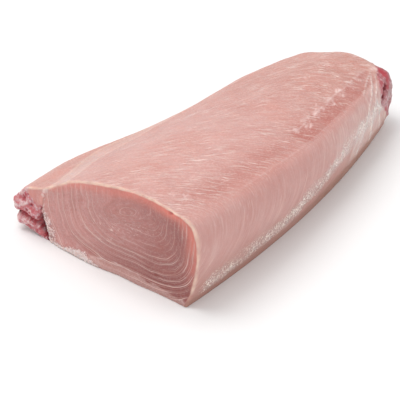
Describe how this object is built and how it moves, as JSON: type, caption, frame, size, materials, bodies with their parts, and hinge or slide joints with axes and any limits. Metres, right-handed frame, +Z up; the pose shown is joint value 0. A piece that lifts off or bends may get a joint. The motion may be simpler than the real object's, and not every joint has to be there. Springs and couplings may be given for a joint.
{
  "type": "raw tuna loin",
  "caption": "Raw fish loin: a long block of pale pink flesh with a flat base, a ringed square-cut near end, a bowed side wall, a dark-muscle flap and a rounded far end.",
  "frame": {"origin": "middle of the loin's footprint, on the flat base it rests on", "axes": "+Z up, out of the base; +Y along the loin, from the tall ringed cut at the near end to the far end; +X across it, from the flap of dark muscle to the bowed side wall"},
  "size_m": [0.2114, 0.3806, 0.0885],
  "materials": {
    "flesh": "moist raw fish flesh, pale pink with a faint wet gloss"
  },
  "bodies": {
    "root": {"loin": "flesh"}
  },
  "joints": []
}
